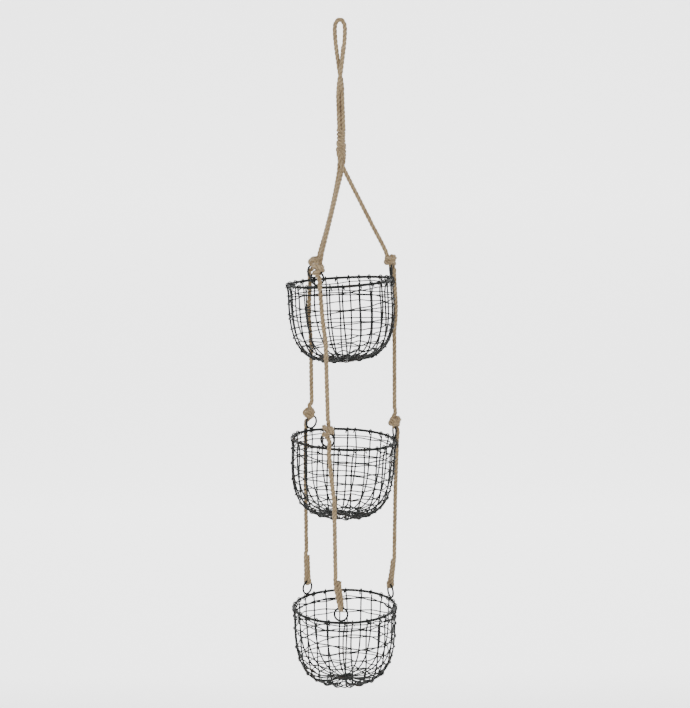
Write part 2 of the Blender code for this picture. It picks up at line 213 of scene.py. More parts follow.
def evenly_spaced(points, step):
    along = np.concatenate(((0,), np.cumsum(np.linalg.norm(np.diff(points, axis=0), axis=1))))
    wanted = np.linspace(0, along[-1], max(2, round(along[-1] / step) + 1))
    return np.stack([np.interp(wanted, along, points[:, axis]) for axis in range(3)], axis=1)


class Shape:
    """Collects tubes into one mesh, with a UV map that runs round and along each tube."""

    def __init__(self):
        self.vertices = []
        self.faces = []
        self.uvs = []
        self.count = 0

    def add_rings(self, rings, lengths, closed=False):
        """rings: (stations, sides, 3) points, lengths: distance of each station along the tube."""
        stations, sides, _ = rings.shape
        self.vertices.append(rings.reshape(-1, 3))
        spans = stations if closed else stations - 1
        start = self.count
        for i in range(spans):
            here, there = start + i * sides, start + (i + 1) % stations * sides
            low, high = lengths[i], lengths[i + 1] if i + 1 < len(lengths) else lengths[i]
            for j in range(sides):
                k = (j + 1) % sides
                self.faces.append((here + j, here + k, there + k, there + j))
                self.uvs.append(((j / sides, low), ((j + 1) / sides, low),
                                 ((j + 1) / sides, high), (j / sides, high)))
        if not closed:
            for face in (tuple(range(start + sides - 1, start - 1, -1)),
                         tuple(range(start + (stations - 1) * sides, start + stations * sides))):
                self.faces.append(face)
                self.uvs.append(tuple((0.5, 0.0) for _ in face))
        self.count += stations * sides

    def add_tube(self, points, radius, sides, closed=False):
        points = np.asarray(points, float)
        _, normals, binormals = carried_frames(points, closed)
        radius = np.broadcast_to(np.asarray(radius, float), (len(points),))
        around = np.linspace(0, 2 * math.pi, sides, endpoint=False)
        across = normals[:, None] * np.cos(around)[None, :, None]
        across = across + binormals[:, None] * np.sin(around)[None, :, None]
        rings = points[:, None] + radius[:, None, None] * across
        steps = np.linalg.norm(np.diff(points, axis=0, append=points[:1]), axis=1)
        lengths = np.concatenate(((0,), np.cumsum(steps)))[:len(points) + 1]
        self.add_rings(rings, lengths, closed)

    def build(self, name, material, matrix=None):
        mesh = bpy.data.meshes.new(name)
        vertices = np.vstack(self.vertices)
        if matrix is not None:
            turn = np.array(matrix.to_3x3())
            vertices = vertices @ turn.T + np.array(matrix.translation)
        mesh.from_pydata(vertices.tolist(), [], self.faces)
        layer = mesh.uv_layers.new(name="along")
        flat = [corner for face in self.uvs for corner in face]
        layer.data.foreach_set("uv", np.array(flat, np.float32).ravel())
        mesh.shade_smooth()
        mesh.set_sharp_from_angle(angle=math.radians(60))
        mesh.materials.append(material)
        piece = bpy.data.objects.new(name, mesh)
        bpy.context.collection.objects.link(piece)
        return piece


def wander(count, size, generator, waves=(1, 2, 3, 5)):
    """A closed smooth random line of about the given size."""
    turn = np.linspace(0, 2 * math.pi, count, endpoint=False)
    line = np.zeros(count)
    for wave in waves:
        height = generator.gauss(0, 1)
        phase = generator.uniform(0, 2 * math.pi)
        line += height * np.cos(wave * turn + phase) / math.sqrt(wave)
    return line * size / math.sqrt(len(waves))


# ---------------------------------------------------------------- materials

def node_material(name):
    material = bpy.data.materials.new(name)
    material.use_nodes = True
    nodes = material.node_tree.nodes
    return material, nodes, material.node_tree.links, nodes["Principled BSDF"]


def add_noise(nodes, links, vector, scale, detail=4.0, roughness=0.55):
    texture = nodes.new("ShaderNodeTexNoise")
    texture.inputs["Scale"].default_value = scale
    texture.inputs["Detail"].default_value = detail
    texture.inputs["Roughness"].default_value = roughness
    links.new(vector, texture.inputs["Vector"])
    return texture.outputs["Fac"]


def add_ramp(nodes, links, factor, stops):
    ramp = nodes.new("ShaderNodeValToRGB")
    ramp.color_ramp.elements[0].position, ramp.color_ramp.elements[1].position = stops[0][0], stops[-1][0]
    for position, _ in stops[1:-1]:
        ramp.color_ramp.elements.new(position)
    for element, (_, colour) in zip(ramp.color_ramp.elements, stops):
        element.color = (*colour, 1.0)
    links.new(factor, ramp.inputs["Fac"])
    return ramp.outputs["Color"]


def add_range(nodes, links, factor, low, high, from_low=0.0, from_high=1.0):
    span = nodes.new("ShaderNodeMapRange")
    for socket, value in (("From Min", from_low), ("From Max", from_high), ("To Min", low), ("To Max", high)):
        span.inputs[socket].default_value = value
    links.new(factor, span.inputs["Value"])
    return span.outputs["Result"]


def add_mix(nodes, links, factor, first, second):
    mix = nodes.new("ShaderNodeMix")
    mix.data_type = "RGBA"
    links.new(factor, mix.inputs["Factor"])
    for socket, value in ((mix.inputs["A"], first), (mix.inputs["B"], second)):
        if isinstance(value, tuple):
            socket.default_value = (*value, 1.0)
        else:
            links.new(value, socket)
    return mix.outputs["Result"]


def stretched_uv(nodes, links, scale):
    coordinates = nodes.new("ShaderNodeTexCoord")
    mapping = nodes.new("ShaderNodeMapping")
    mapping.inputs["Scale"].default_value = scale
    links.new(coordinates.outputs["UV"], mapping.inputs["Vector"])
    return mapping.outputs["Vector"], coordinates.outputs["Object"]


def painted_groove_shade(nodes, links, deepest, from_share, to_share):
    """Painted shade between the strands, by how deep a place lies: the UV map runs round each strand from its
    outer side.
    """
    coordinates = nodes.new("ShaderNodeTexCoord")
    split = nodes.new("ShaderNodeSeparateXYZ")
    links.new(coordinates.outputs["UV"], split.inputs["Vector"])
    centred = nodes.new("ShaderNodeMath")
    centred.operation = "SUBTRACT"
    centred.inputs[1].default_value = 0.5
    links.new(split.outputs["X"], centred.inputs[0])
    distance = nodes.new("ShaderNodeMath")
    distance.operation = "ABSOLUTE"
    links.new(centred.outputs["Value"], distance.inputs[0])
    return add_range(nodes, links, distance.outputs["Value"], deepest, 0.0, from_share, to_share)


def jute(name, dark, middle, light, groove_shade_strength=0.75):
    """Dry bast fibre: fine streaks along each strand, darker in blotches, with painted shade in the grooves
    between strands, no gloss.
    """
    material, nodes, links, shader = node_material(name)
    streaks, place = stretched_uv(nodes, links, (9.0, 160.0, 1.0))
    fibre = add_noise(nodes, links, streaks, 3.2, 5.0, 0.62)
    blotch = add_noise(nodes, links, place, 55.0, 3.0)
    colour = add_ramp(nodes, links, fibre, ((0.30, dark), (0.50, middle), (0.72, light)))
    shade = add_range(nodes, links, blotch, 0.0, 0.50, 0.45, 0.72)
    colour = add_mix(nodes, links, shade, colour, dark)
    # Painted shade: each strand darkens towards its sides, where it dives into the grooves between strands.
    if groove_shade_strength:
        deep = painted_groove_shade(nodes, links, groove_shade_strength, 0.20, 0.36)
        colour = add_mix(nodes, links, deep, colour, tuple(0.45 * channel for channel in dark))
    links.new(colour, shader.inputs["Base Color"])
    links.new(add_range(nodes, links, fibre, 0.82, 0.98), shader.inputs["Roughness"])
    shader.inputs["Specular IOR Level"].default_value = 0.18
    shader.inputs["Sheen Weight"].default_value = 0.25
    shader.inputs["Sheen Roughness"].default_value = 0.6
    bump = nodes.new("ShaderNodeBump")
    bump.inputs["Strength"].default_value = 0.8
    bump.inputs["Distance"].default_value = 0.0004
    links.new(fibre, bump.inputs["Height"])
    links.new(bump.outputs["Normal"], shader.inputs["Normal"])
    return material


def dark_wire(name, rust=0.25):
    """Blackened steel wire: satin, drawn along its length, with a little rust in places."""
    material, nodes, links, shader = node_material(name)
    streaks, place = stretched_uv(nodes, links, (5.0, 60.0, 1.0))
    drawn = add_noise(nodes, links, streaks, 2.5, 4.0)
    patches = add_noise(nodes, links, place, 38.0, 5.0, 0.6)
    grain = add_noise(nodes, links, place, 900.0, 3.0)
    steel = add_ramp(nodes, links, drawn, ((0.25, (0.008, 0.009, 0.009)), (0.55, (0.014, 0.016, 0.015)),
                                           (0.80, (0.028, 0.030, 0.029))))
    rusty = add_range(nodes, links, patches, 0.0, rust, 0.56, 0.72)
    colour = add_mix(nodes, links, rusty, steel, (0.115, 0.060, 0.030))
    links.new(colour, shader.inputs["Base Color"])
    shader.inputs["Metallic"].default_value = 0.15
    shader.inputs["Specular IOR Level"].default_value = 0.25
    links.new(add_range(nodes, links, patches, 0.45, 0.72, 0.3, 0.75), shader.inputs["Roughness"])
    bump = nodes.new("ShaderNodeBump")
    bump.inputs["Strength"].default_value = 0.35
    bump.inputs["Distance"].default_value = 0.0001
    links.new(grain, bump.inputs["Height"])
    links.new(bump.outputs["Normal"], shader.inputs["Normal"])
    return material


JUTE = jute("jute", (0.140, 0.086, 0.040), (0.350, 0.250, 0.132), (0.560, 0.442, 0.268))
JUTE_FUZZ = jute("jute_fuzz", (0.300, 0.215, 0.130), (0.450, 0.345, 0.220), (0.620, 0.510, 0.365),
                 groove_shade_strength=0.0)
# Jute darkened as painted shade, for the dark tube in the neck's groove.
SHADOWED_FIBRE = jute("jute_shadowed", (0.060, 0.034, 0.016), (0.130, 0.080, 0.042), (0.240, 0.165, 0.095),
                      groove_shade_strength=0.0)
RIM_STEEL = dark_wire("rim_steel", 0.15)
RIB_STEEL = dark_wire("rib_steel", 0.25)
WEAVE_STEEL = dark_wire("weave_steel", 0.35)
HUB_STEEL = dark_wire("hub_steel", 0.70)


# ---------------------------------------------------------------- frames of the tiers

def centre_of(node):
    low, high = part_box(node)
    return (Vector(low) + Vector(high)) / 2


class Tier:
    """A bowl's frame: its origin is the rim's centre, Z its axis, and the front ring is towards -Y."""

    def __init__(self, name):
        self.name = name
        self.body = f"{name}_tier"
        self.rings = {rope: centre_of(f"{name}_{rope}_ring") for rope in ROPES}
        self.origin = centre_of(f"{name}_rim")
        along, across = self.rings["right"] - self.rings["front"], self.rings["left"] - self.rings["front"]
        self.up = along.cross(across).normalized()
        self.ring_height = (self.rings["front"] - self.origin).dot(self.up)
        self.rim_radius = (self.rings["front"] - self.origin - self.up * self.ring_height).length
        self.matrix = self.seat("front")
        self.wall = Wall(self.rim_radius, BELLY[name])

    def seat(self, rope):
        """Frame at the rim's centre, turned to a rope: X along the rim, -Y outwards, Z up."""
        inwards = self.origin + self.up * self.ring_height - self.rings[rope]
        inwards.normalize()
        seat = Matrix((inwards.cross(self.up), inwards, self.up)).transposed().to_4x4()
        seat.translation = self.origin
        return seat

    def at(self, rope, along, outwards, height):
        return self.seat(rope) @ Vector((along, -self.rim_radius - outwards, height))

    def beside_wall(self, point):
        """The point moved straight out from the bowl's axis until a rope there clears the wall."""
        local = self.matrix.inverted() @ point
        flat = math.hypot(local.x, local.y)
        scale = max(1.0, (self.wall.radius_at(local.z) + ROPE_OFF_WALL) / flat)
        return self.matrix @ Vector((local.x * scale, local.y * scale, local.z))


class Wall:
    """A bowl's wall in section, by the distance from the rim down the wall to the middle of the floor."""

    def __init__(self, rim_radius, belly):
        turn = np.radians(np.concatenate((np.linspace(0, 2, 60, endpoint=False), np.linspace(2, 90, 300))))
        power = 2 / BOWL_SQUARENESS
        depth_share = np.sin(turn) ** power
        radius = rim_radius * (np.maximum(np.cos(turn), 0) ** power + belly * np.sin(math.pi * depth_share))
        self.section = np.stack((radius, -BOWL_DEPTH * depth_share), axis=1)
        steps = np.linalg.norm(np.diff(self.section, axis=0), axis=1)
        self.along = np.concatenate(((0,), np.cumsum(steps)))
        self.length = self.along[-1]

    def place(self, distance):
        return np.array([np.interp(distance, self.along, self.section[:, axis]) for axis in (0, 1)])

    def at(self, distance, outset=0.0):
        here = self.place(distance)
        down = unit(self.place(distance + 0.001) - self.place(distance - 0.001))
        return here + np.array((-down[1], down[0])) * outset

    def radius_at(self, height):
        return float(np.interp(-height, -self.section[:, 1], self.section[:, 0]))


tiers = {name: Tier(name) for name in TIERS}


# ---------------------------------------------------------------- wire bowls

def rib_directions(generator):
    return [2 * math.pi * (i + 0.5) / RIB_COUNT + generator.gauss(0, 0.026) for i in range(RIB_COUNT)]


def rib_route(tier, direction, generator):
    """From the hub along the floor and up the wall, once round the rim, and a loose tail."""
    lean = generator.gauss(0, 0.0022)
    bow = generator.gauss(0, 0.0016)
    floor = -BOWL_DEPTH + FLOOR_LIFT
    stations = [(generator.uniform(0.002, 0.007), 0.0, floor + generator.uniform(0.0, 0.0035)),
                (0.0165, 0.0, floor + generator.uniform(0.0, 0.0012))]
    for share in (0.84, 0.76, 0.69, 0.62, 0.55, 0.47, 0.39, 0.31, 0.23, 0.15, 0.09):
        radius, height = tier.wall.at(share * tier.wall.length)
        sideways = lean * (1 - share) + bow * math.sin(7 * share)
        stations.append((radius, sideways, max(height, floor)))
    hook = RIM_WIRE_RADIUS + RIB_RADIUS + 0.0001
    stations.append((tier.rim_radius + 0.0016, lean, -0.0085))
    for step in range(8):
        turn = math.radians(-38 + 45 * step)
        out, up = hook * math.cos(turn), hook * math.sin(turn)
        stations.append((tier.rim_radius + out, lean + 0.0003 * step, up))
    tail = generator.uniform(0.002, 0.0060)
    swing = generator.uniform(-0.6, 1.0)
    tail_radius = tier.rim_radius + 0.0032 + tail * 0.35 * abs(swing)
    tip_radius = tier.rim_radius + 0.0028 + tail * max(swing, 0)
    stations.append((tail_radius, lean + 0.0028 + tail * 0.3, -0.0030))
    stations.append((tip_radius, lean + 0.0036 + tail * 0.5 * swing, -0.0032 - tail))
    outward = np.array((math.cos(direction), math.sin(direction)))
    sideways = np.array((-outward[1], outward[0]))
    return [(*(outward * r + sideways * s), z) for r, s, z in stations]


def build_ribs(tier, directions, generator):
    shape = Shape()
    for direction in directions:
        points = smooth_route(rib_route(tier, direction, generator), RIB_STEP)
        from_axis = np.hypot(points[:, 0], points[:, 1])
        thinness = np.where(points[:, 2] > -0.006, 0.70, np.interp(from_axis, (0.012, 0.045), (0.6, 1.0)))
        shape.add_tube(points, RIB_RADIUS * (1 + generator.gauss(0, 0.05)) * thinness, 7)
    ribs = shape.build(f"{tier.name}_wrapped_ribs", RIB_STEEL, tier.matrix)
    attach(ribs, tier.body)
    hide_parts(f"{tier.name}_rib_cage")


def build_rim(tier, generator):
    count = 180
    turn = np.linspace(0, 2 * math.pi, count, endpoint=False)
    radius = tier.rim_radius + wander(count, 0.00035, generator, (2, 3, 5))
    height = wander(count, 0.0003, generator, (2, 3, 4))
    points = np.stack((radius * np.cos(turn), radius * np.sin(turn), height), axis=1)
    shape = Shape()
    shape.add_tube(points, RIM_WIRE_RADIUS, 12, closed=True)
    rim = shape.build(f"{tier.name}_rim_wire", RIM_STEEL, tier.matrix)
    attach(rim, tier.body)
    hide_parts(f"{tier.name}_rim")


def woven_hoop(tier, distance, parity, directions, generator):
    """One thin wire round the bowl, inside one rib and outside the next."""
    count = RIB_COUNT * 8
    turn = np.linspace(0, 2 * math.pi, count, endpoint=False)
    drift = wander(count, WEAVE_DRIFT, generator, (1, 2, 3))
    drift = drift + wander(count, WEAVE_RIPPLE, generator, (5, 7, 9, 13))
    ribs = (directions[-1] - 2 * math.pi, *directions, directions[0] + 2 * math.pi)
    order = np.interp(turn, ribs, np.arange(-1, RIB_COUNT + 1))
    swing = parity * np.cos(math.pi * order) * (RIB_RADIUS + WEAVE_RADIUS)
    points = []
    for angle, lift, outset in zip(turn, drift, swing):
        along = min(max(distance + lift, 0.0055), WEAVE_REACH * tier.wall.length)
        radius, height = tier.wall.at(along, outset)
        height = max(height, -BOWL_DEPTH + FLOOR_LIFT)
        points.append((radius * math.cos(angle), radius * math.sin(angle), height))
    return np.array(points)


def build_weave(tier, directions, generator):
    shape = Shape()
    for i, distance in enumerate(HOOPS[tier.name]):
        points = woven_hoop(tier, distance, 1 if i % 2 else -1, directions, generator)
        shape.add_tube(points, WEAVE_RADIUS, 6, closed=True)
    weave = shape.build(f"{tier.name}_woven_wires", WEAVE_STEEL, tier.matrix)
    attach(weave, tier.body)
    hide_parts(f"{tier.name}_weave_wire")


def build_hub(tier, generator):
    """Thin wire wound in and out of the ribs where they meet under the floor, with a few stray turns."""
    shape = Shape()
    count = HUB_TURNS * RIB_COUNT * 4
    turn = np.linspace(0, 2 * math.pi * HUB_TURNS, count)
    share = np.linspace(0, 1, count)
    radius = 0.0030 + 0.0085 * share + 0.0005 * np.sin(turn * 2.3)
    height = -BOWL_DEPTH + 0.0017 + 0.0017 * np.sin(RIB_COUNT / 2 * turn + 2.1 * share) + 0.0014 * (1 - share)
    points = np.stack((radius * np.cos(turn), radius * np.sin(turn), height), axis=1)
    shape.add_tube(points, HUB_WIRE_RADIUS, 6)
    for _ in range(HUB_STRAYS):
        count = 60
        turn = np.linspace(0, 2 * math.pi, count, endpoint=False)
        wide, narrow = generator.uniform(0.012, 0.019), generator.uniform(0.006, 0.012)
        spin = generator.uniform(0, math.pi)
        x, y = wide * np.cos(turn), narrow * np.sin(turn)
        height = -BOWL_DEPTH + 0.0035 + wander(count, 0.0010, generator, (2, 3, 5))
        stray = np.stack((x * math.cos(spin) - y * math.sin(spin), x * math.sin(spin) + y * math.cos(spin),
                          np.maximum(height, -BOWL_DEPTH + 0.001)), axis=1)
        shape.add_tube(stray, WEAVE_RADIUS, 6, closed=True)
    hub = shape.build(f"{tier.name}_hub_binding", HUB_STEEL, tier.matrix)
    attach(hub, tier.body)


def build_ring(tier, rope, generator):
    """A small hoop standing on the rim, bound to it by two turns of thin wire."""
    low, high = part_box(f"{tier.name}_{rope}_ring")
    radius = (high[2] - low[2]) / 2 - RING_WIRE_RADIUS
    count = 56
    turn = np.linspace(0, 2 * math.pi, count, endpoint=False)
    wide = radius * (1 + generator.gauss(-0.02, 0.02))
    tilt = generator.gauss(0, 0.05)
    points = np.stack((wide * np.sin(turn), -tier.rim_radius + tilt * radius * (1 + np.cos(turn)) * 0.5,
                       tier.ring_height - radius * np.cos(turn)), axis=1)
    shape = Shape()
    shape.add_tube(points, RING_WIRE_RADIUS, 10, closed=True)
    turns = 2.6
    turn = np.linspace(0, 2 * math.pi * turns, 60)
    middle_height = 0.0013
    lashing = np.stack((0.0009 * (turn / (2 * math.pi) - turns / 2),
                        -tier.rim_radius - 0.0027 * np.cos(turn),
                        middle_height + 0.0039 * np.sin(turn)), axis=1)
    shape.add_tube(lashing, LASHING_RADIUS, 6)
    ring = shape.build(f"{tier.name}_{rope}_wire_ring", RIM_STEEL, tier.seat(rope))
    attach(ring, tier.body)
    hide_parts(f"{tier.name}_{rope}_ring")


for index, name in enumerate(TIERS):
    bowl_draw = random.Random(20 + index)
    build_rim(tiers[name], bowl_draw)
    directions = rib_directions(bowl_draw)
    build_ribs(tiers[name], directions, bowl_draw)
    build_weave(tiers[name], directions, bowl_draw)
    build_hub(tiers[name], bowl_draw)
    for rope in ROPES:
        build_ring(tiers[name], rope, bowl_draw)


# ---------------------------------------------------------------- rope

class Rope:
    """A three-strand twisted rope along one route, cut into pieces that meet end to end."""

    def __init__(self, points, radius=ROPE_RADIUS, seed=1, step=ROPE_STEP):
        self.points = evenly_spaced(np.asarray(points, float), step)
        self.frames = carried_frames(self.points)
        self.scale = radius / ROPE_RADIUS
        self.lay = LAY_LENGTH * self.scale
        gaps = np.linalg.norm(np.diff(self.points, axis=0), axis=1)
        self.along = np.concatenate(((0,), np.cumsum(gaps)))
        self.generator = np.random.default_rng(seed)
        count = len(self.points)
        rough = self.generator.normal(0, 1, (3, count + 8))
        kernel = np.hanning(9) / np.hanning(9).sum()
        self.unevenness = np.array([np.convolve(line, kernel, "valid") for line in rough]) * 0.05

    def strand(self, index):
        tangents, normals, sides = self.frames
        turn = 2 * math.pi * (self.along / self.lay + index / 3)
        outward = normals * np.cos(turn)[:, None] + sides * np.sin(turn)[:, None]
        circle = STRAND_CIRCLE * self.scale
        across = -normals * np.sin(turn)[:, None] + sides * np.cos(turn)[:, None]
        direction = unit(tangents + across * (2 * math.pi * circle / self.lay))
        centre = self.points + outward * circle
        return centre, (direction, outward, np.cross(direction, outward))

    def add_strands(self, shape, first, last):
        part = slice(first, last + 1)
        for index in range(3):
            centre, (direction, outward, side) = self.strand(index)
            around = np.linspace(0, 2 * math.pi, STRAND_SIDES, endpoint=False)
            uneven = 1 + self.unevenness[index][part]
            yarn = 1 + 0.055 * np.cos(5 * around[None] + 2 * math.pi * self.along[part, None] / 0.011)
            radius = STRAND_RADIUS * self.scale * uneven[:, None] * yarn
            across = outward[part, None] * np.cos(around)[None, :, None]
            across = across + side[part, None] * np.sin(around)[None, :, None]
            rings = centre[part, None] + radius[..., None] * across
            shape.add_rings(rings, self.along[part])

    def add_fuzz(self, shape, first, last, per_metre):
        """Loose fibre ends that stand off the rope."""
        length = self.along[last] - self.along[first]
        rows = self.generator
        for _ in range(int(length * per_metre)):
            i = int(rows.integers(first, last))
            tangents, normals, sides = (part[i] for part in self.frames)
            turn = rows.uniform(0, 2 * math.pi)
            outward = normals * math.cos(turn) + sides * math.sin(turn)
            across = np.cross(tangents, outward)
            reach = rows.uniform(0.0008, 0.0026) * self.scale
            travel = rows.normal(0, 0.0022) * self.scale
            side = rows.normal(0, 0.0012) * self.scale
            base = self.points[i] + outward * ROPE_RADIUS * self.scale * 0.86
            middle = base + outward * reach * 0.7 + tangents * travel * 0.5 + across * side * 0.3
            tip = base + outward * reach + tangents * travel + across * side
            shape.add_tube([base, middle, tip], (FIBRE_RADIUS, FIBRE_RADIUS * 0.8, FIBRE_RADIUS * 0.35), 3)

    def nearest(self, place):
        """The station nearest to a place."""
        return int(np.argmin(np.linalg.norm(self.points - np.array(tuple(place)), axis=1)))

    def piece(self, name, first, last, slot, nodes, fibres_per_metre=FIBRES_PER_METRE, core=None):
        shape = Shape()
        self.add_strands(shape, first, last)
        if core is not None:
            knot_core(shape, *core)
        fuzzy = Shape()
        self.add_fuzz(fuzzy, first, last, fibres_per_metre)
        made = shape.build(name, JUTE)
        strays = fuzzy.build(name + "_fibres", JUTE_FUZZ)
        if nodes:
            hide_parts(*nodes)
        return [made, strays]


def ride_all(parts, body):
    for part in parts:
        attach(part, body)


def blend_all(parts):
    for part in parts:
        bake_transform(part)


def knot_stations(centre, side, outward, up, hand, leave_along, leave_outwards):
    """Two slanting turns of the rope round its own standing part, the first crossing over the second."""
    def at(x, out, z):
        return centre + side * x + outward * out + up * z
    stations = []
    for i in range(KNOT_STEPS + 1):
        degrees = -100 + 640 * i / KNOT_STEPS
        turn = math.radians(degrees)
        crossing = math.radians(degrees - 45)
        over = math.tanh((225 - degrees) / 25)
        spread = 0.0076 + 0.0016 * over * math.cos(crossing) ** 2
        height = 0.0012 + over * (0.0018 + 0.0060 * math.sin(crossing))
        stations.append(at(spread * math.cos(turn) * hand, spread * math.sin(turn), height))
    stations.append(at(leave_along * 0.85, leave_outwards, -0.0150))
    return stations


def knot_core(shape, centre, up):
    """The rope's standing part in the middle of a knot."""
    points = [centre + up * height for height in (-0.010, -0.003, 0.004, 0.010)]
    core = Rope(smooth_route(points, ROPE_STEP), seed=3)
    core.add_strands(shape, 0, len(core.points) - 1)


def joint_point(name):
    return Vector(joints[name]["pos_m"])


def drop_ends(lower, rope):
    prefix = lower if rope == GUIDE_ROPE else f"{lower}_{rope}"
    head = joint_point(prefix + "_sway_sideways")
    guide_head = joint_point(lower + "_sway_sideways")
    guide_foot = joint_point(lower + "_level_sideways")
    return head, head + (guide_foot - guide_head)


def plait_point(height, index):
    """A place on one of the three ropes plaited together inside the whipping."""
    turn = 2 * math.pi * (height / PLAIT_PITCH + index / 3)
    sideways = PLAIT_HALF_WIDTH * (math.sin(turn) + 0.27 * math.sin(3 * turn))
    return Vector((sideways, PLAIT_HALF_DEPTH * math.sin(2 * turn), height))


neck_low, neck_high = (Vector(corner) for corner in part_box("plaited_neck"))
whip_low, whip_high = (Vector(corner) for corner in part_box("neck_whipping"))
CROTCH = whip_low.z


def drop_lean(lower, rope, at_rim, head):
    """Points just above and below a drop's head, so that the rope runs smoothly from the rim to its foot."""
    slack = DROP_SLACK.get((lower, rope), USUAL_SLACK)
    sideways = Vector((at_rim.x - head.x, at_rim.y - head.y, 0.0))
    lift = Vector((0.0, 0.0, 0.012))
    return head + sideways * slack + lift, head + sideways * slack * 0.8 - lift


def rope_route(rope):
    """One rope's whole way from inside the whipping to above its folded end at the bottom bowl."""
    top = tiers["top"]
    stations = [plait_point(CROTCH + height, ROPES.index(rope)) for height in (0.050, 0.044, 0.038, 0.032)]
    stations += [Vector(place) + Vector((0, 0, CROTCH)) for place in CROTCH_STATIONS[rope]]
    ends = {}
    cores = []
    for name in ("top", "middle"):
        tier = tiers[name]
        seat = tier.seat(rope).to_3x3()
        side, out, up = seat @ Vector((1, 0, 0)), seat @ Vector((0, -1, 0)), tier.up
        shift = KNOT_SHIFT.get((name, rope), 0.0)
        centre = tier.at(rope, shift, 0, tier.ring_height + KNOT_ABOVE_RING)
        cores.append((centre, up))
        if tier is top:
            entry = centre + Vector(TOP_ENTRY[rope])
            bow = Vector((BRIDLE_BOW[rope], 0, 0))
            stations += [stations[-1].lerp(entry, share) + bow for share in (0.3, 0.65)] + [entry]
        else:
            stations.append(centre + up * 0.018)
        crossing = RIM_CROSSING[(name, rope)]
        hand = -1 if rope == "right" else 1
        stations += knot_stations(centre, side, out, up, hand, crossing - shift, ROPE_OFF_RIM)
        stations += [tier.at(rope, crossing, ROPE_OFF_RIM, height) for height in (0.009, 0.0, -0.008)]
        at_rim = stations[-1]
        lower = TIERS[TIERS.index(name) + 1]
        head, foot = drop_ends(lower, rope)
        above_head, below_head = drop_lean(lower, rope, at_rim, head)
        stations += [tier.beside_wall(at_rim.lerp(above_head, share)) for share in (0.25, 0.5, 0.75, 1.0)]
        stations += [below_head.lerp(foot, share) for share in (0.0, 0.4, 0.8, 1.0)]
        ends[lower] = (above_head.lerp(below_head, 0.5), foot)
    return stations, ends, cores


def folded_end(rope, foot):
    """Down beside itself, through the ring, and back up to a cut tip."""
    tier = tiers["bottom"]
    seat = tier.seat(rope).to_3x3()
    tangent, out = seat @ Vector((1, 0, 0)), seat @ Vector((0, -1, 0))
    ring_top = tier.at(rope, 0, 0, tier.ring_height + 0.0135)
    axis = (foot - ring_top).normalized()
    side = (tangent - axis * tangent.dot(axis)).normalized()
    face = axis.cross(side) * (1 if axis.cross(side).dot(out) > 0 else -1)
    tip_side = -1 if rope == "left" else 1

    def at(x, o, z):
        return ring_top + side * x * tip_side + face * o + axis * z
    down = [at(-0.0016, 0.0002, 0.056), at(-0.0028, 0.0002, 0.044), at(-0.0030, 0.0004, 0.026),
            at(-0.0026, 0.0012, 0.012), at(-0.0018, 0.0028, 0.0045), at(-0.0014, 0.0038, -0.0005),
            at(-0.0007, 0.0022, -0.0046)]
    back = [at(0.0007, -0.0022, -0.0046), at(0.0014, -0.0038, -0.0005), at(0.0018, -0.0028, 0.0045),
            at(0.0026, -0.0012, 0.012), at(0.0032, -0.0004, 0.026), at(0.0038, 0.0002, 0.040),
            at(0.0052, 0.0006, 0.051)]
    return down + back


def build_rope(rope, index):
    stations, ends, cores = rope_route(rope)
    stations += folded_end(rope, ends["bottom"][1])
    line = Rope(smooth_route(stations, ROPE_STEP), seed=31 + index)
    mid_head, mid_foot, low_head, low_foot = (line.nearest(end) for lower in ("middle", "bottom")
                                              for end in ends[lower])
    last = len(line.points) - 1
    half_run = int(HALF_RUN / ROPE_STEP)

    parts = line.piece(f"{rope}_rope_to_top_bowl", 0, mid_head - half_run, "jute_rope",
                       [f"{rope}_bridle_rope", f"top_{rope}_knot"], core=cores[0])
    ride_all(parts, "top_tier")

    spans = (("top", "middle", mid_head, mid_foot), ("middle", "bottom", low_head, low_foot))
    for upper, lower, head_cut, foot_cut in spans:
        bend, drop = f"{lower}_{rope}_bend", f"{lower}_{rope}_drop"
        parts = line.piece(f"{upper}_{rope}_rope_beside_bowl", head_cut - half_run, head_cut, "jute_rope",
                           [f"{upper}_{rope}_rope_run"])
        blend_all(parts)
        middle_cut = (head_cut + foot_cut) // 2
        parts = line.piece(f"{lower}_{rope}_drop_upper", head_cut, middle_cut, "jute_rope",
                           [f"{lower}_{rope}_rope_bend", f"{lower}_{rope}_drop_rope"])
        blend_all(parts)
        nodes = [f"{lower}_{rope}_lower_bend"] if rope == GUIDE_ROPE else []
        parts = line.piece(f"{lower}_{rope}_drop_lower", middle_cut, foot_cut, "jute_rope", nodes)
        if rope == GUIDE_ROPE:
            blend_all(parts)
        else:
            ride_all(parts, drop)
        stub_cut = foot_cut + int(STUB_LENGTH / ROPE_STEP)
        end_cut = low_head - half_run if lower == "middle" else last
        knot_nodes = [f"middle_{rope}_knot"] if lower == "middle" else [f"bottom_{rope}_rope_end"]
        if rope == GUIDE_ROPE:
            parts = line.piece(f"{lower}_{rope}_stub", foot_cut, stub_cut, "jute_rope", [])
            blend_all(parts)
        else:
            stub_cut = foot_cut
        knot_name = f"{lower}_{rope}_knotted_rope" if lower == "middle" else f"{lower}_{rope}_folded_end"
        core = cores[1] if lower == "middle" else None
        parts = line.piece(knot_name, stub_cut, end_cut, "jute_rope", knot_nodes, core=core)
        ride_all(parts, f"{lower}_tier")


for index, rope in enumerate(ROPES):
    build_rope(rope, index)


# ---------------------------------------------------------------- loop and neck

